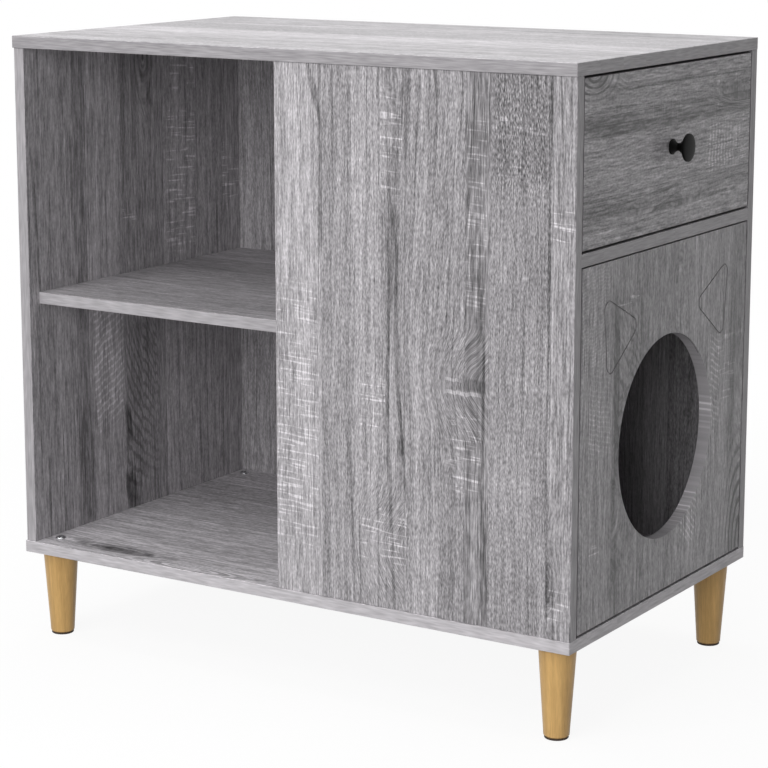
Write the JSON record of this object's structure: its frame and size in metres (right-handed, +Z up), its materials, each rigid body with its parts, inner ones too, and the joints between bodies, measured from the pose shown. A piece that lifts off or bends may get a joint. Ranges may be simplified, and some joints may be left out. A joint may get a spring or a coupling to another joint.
{
  "type": "cat house cabinet",
  "caption": "Grey oak effect cat house cabinet on tapered wood legs, with an open shelf bay, a drawer and a hinged door with a round entry hole and engraved ears.",
  "frame": {"origin": "on the ground, under the middle of the whole piece with its knob", "axes": "+Z up, +X along the length towards the drawer and door end, +Y from the open front to the back"},
  "size_m": [0.824, 0.475, 0.78],
  "materials": {
    "grey_oak_board": "grey oak effect laminate on particle board",
    "drawer_board": "grey laminate on particle board",
    "hardboard": "thin fibre board",
    "leg_wood": "clear lacquered solid wood",
    "dowel_wood": "raw fluted beech",
    "dark_pad": "matt",
    "black_metal": "satin black",
    "magnet": "plain",
    "white_plastic": "moulded nylon",
    "grey_plastic": "moulded nylon",
    "zinc_steel": "zinc plated"
  },
  "bodies": {
    "cabinet": {"top_board": "grey_oak_board", "bottom_board": "grey_oak_board", "left_side_panel": "grey_oak_board", "back_panel": "grey_oak_board", "divider_panel": "grey_oak_board", "front_panel": "grey_oak_board", "room_ceiling": "grey_oak_board", "shelf": "grey_oak_board", "shelf_pins": "zinc_steel", "leg_front_left": "leg_wood", "leg_front_right": "leg_wood", "leg_back_left": "leg_wood", "leg_back_right": "leg_wood", "foot_pad_front_left": "dark_pad", "foot_pad_front_right": "dark_pad", "foot_pad_back_left": "dark_pad", "foot_pad_back_right": "dark_pad", "leg_inserts": "zinc_steel", "leg_bolts": "zinc_steel", "base_screws": "zinc_steel", "dowels": "dowel_wood", "cam_locks": "zinc_steel", "cam_bolts": "zinc_steel", "cabinet_runner_front": "zinc_steel", "cabinet_runner_back": "zinc_steel", "cabinet_runner_rivets": "zinc_steel", "cabinet_runner_screws": "zinc_steel", "hinge_bush_lower": "grey_plastic", "hinge_bush_upper": "grey_plastic", "magnet_catch": "white_plastic", "catch_magnet": "magnet", "catch_screws": "zinc_steel"},
    "drawer": {"drawer_front": "grey_oak_board", "drawer_side_front": "drawer_board", "drawer_side_back": "drawer_board", "drawer_rear": "drawer_board", "drawer_bottom": "hardboard", "drawer_knob": "black_metal", "knob_screw": "zinc_steel", "drawer_dowels": "dowel_wood", "drawer_cam_locks": "zinc_steel", "drawer_cam_bolts": "zinc_steel", "drawer_rear_screws": "zinc_steel", "drawer_runner_front": "zinc_steel", "drawer_runner_back": "zinc_steel", "drawer_runner_rivets": "zinc_steel", "drawer_runner_screws": "zinc_steel"},
    "door": {"door_panel": "grey_oak_board", "hinge_pin_lower": "zinc_steel", "hinge_pin_upper": "zinc_steel", "hinge_washer": "grey_plastic", "strike_plate": "zinc_steel", "strike_screws": "zinc_steel"},
    "roller_cabinet_front": {"cabinet_roller_front": "white_plastic"},
    "roller_cabinet_back": {"cabinet_roller_back": "white_plastic"},
    "roller_drawer_front": {"drawer_roller_front": "white_plastic"},
    "roller_drawer_back": {"drawer_roller_back": "white_plastic"}
  },
  "joints": [
    {"name": "drawer_slide", "type": "slide", "parent": "cabinet", "child": "drawer", "axis": [1, 0, 0], "range_m": [0, 0.26]},
    {"name": "door_hinge", "type": "hinge", "parent": "cabinet", "child": "door", "pos_m": [0.3805, 0.204, 0.34025], "axis": [0, 0, 1], "range_deg": [0, 110]},
    {"name": "roller_cabinet_front_spin", "type": "hinge", "parent": "cabinet", "child": "roller_cabinet_front", "pos_m": [0.357, -0.21545, 0.5985], "axis": [0, 1, 0], "range_deg": [0, 1440]},
    {"name": "roller_drawer_front_spin", "type": "hinge", "parent": "drawer", "child": "roller_drawer_front", "pos_m": [0.037, -0.21545, 0.5985], "axis": [0, 1, 0], "range_deg": [0, 1440]},
    {"name": "roller_cabinet_back_spin", "type": "hinge", "parent": "cabinet", "child": "roller_cabinet_back", "pos_m": [0.357, 0.21595, 0.5985], "axis": [0, 1, 0], "range_deg": [0, 1440]},
    {"name": "roller_drawer_back_spin", "type": "hinge", "parent": "drawer", "child": "roller_drawer_back", "pos_m": [0.037, 0.21595, 0.5985], "axis": [0, 1, 0], "range_deg": [0, 1440]}
  ],
  "couplings": [
    {"joint": "roller_cabinet_front_spin", "follows": "drawer_slide", "rad_per_m": 95.238},
    {"joint": "roller_drawer_front_spin", "follows": "drawer_slide", "rad_per_m": 95.238},
    {"joint": "roller_cabinet_back_spin", "follows": "drawer_slide", "rad_per_m": 95.238},
    {"joint": "roller_drawer_back_spin", "follows": "drawer_slide", "rad_per_m": 95.238}
  ]
}
